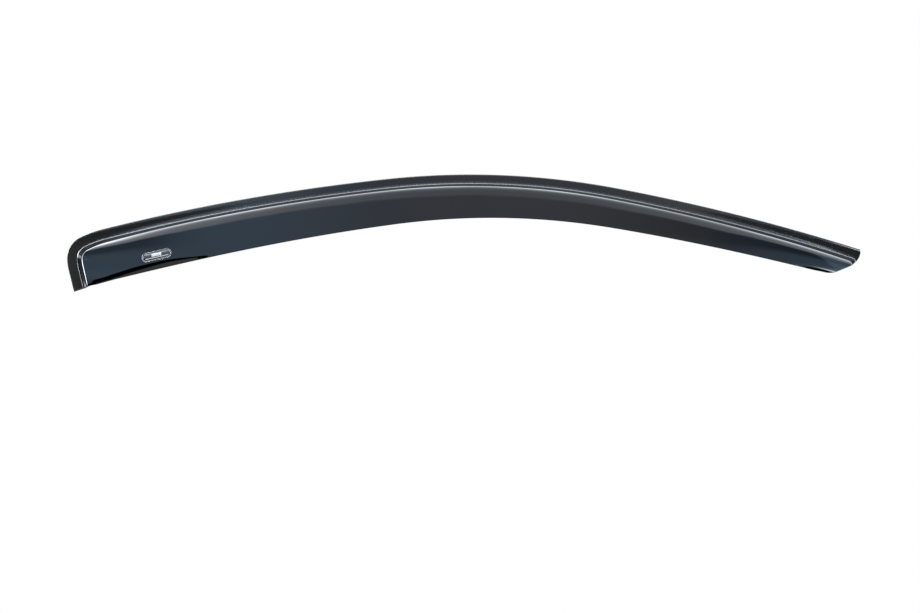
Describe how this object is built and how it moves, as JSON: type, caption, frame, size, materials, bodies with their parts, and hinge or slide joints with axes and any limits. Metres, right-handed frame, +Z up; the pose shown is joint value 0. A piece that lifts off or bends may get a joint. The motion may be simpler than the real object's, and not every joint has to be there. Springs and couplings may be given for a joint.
{
  "type": "window rain deflector",
  "caption": "Curved glossy acrylic visor, taped over a car's front side window to shed rain and let air in, with a stepped bonding flange, an outward blade and a small rimmed badge.",
  "frame": {"origin": "middle of the bonding tape's face where the arch crowns", "axes": "+X forward to the tapered front tip, -Y outboard, +Z up along the door glass; the bonding face looks along +Y"},
  "size_m": [0.8779, 0.0324, 0.129],
  "materials": {
    "acrylic": "polished black acrylic",
    "badge_silver": "silver film under a clear dome, dark field",
    "foam_tape": "dark grey closed-cell acrylic foam",
    "release_film": "red polyethylene release film"
  },
  "bodies": {
    "root": {"visor": "acrylic", "badge": "badge_silver", "arch_tape": "foam_tape", "rear_tape": "foam_tape", "arch_liner": "release_film", "rear_liner": "release_film"}
  },
  "joints": []
}
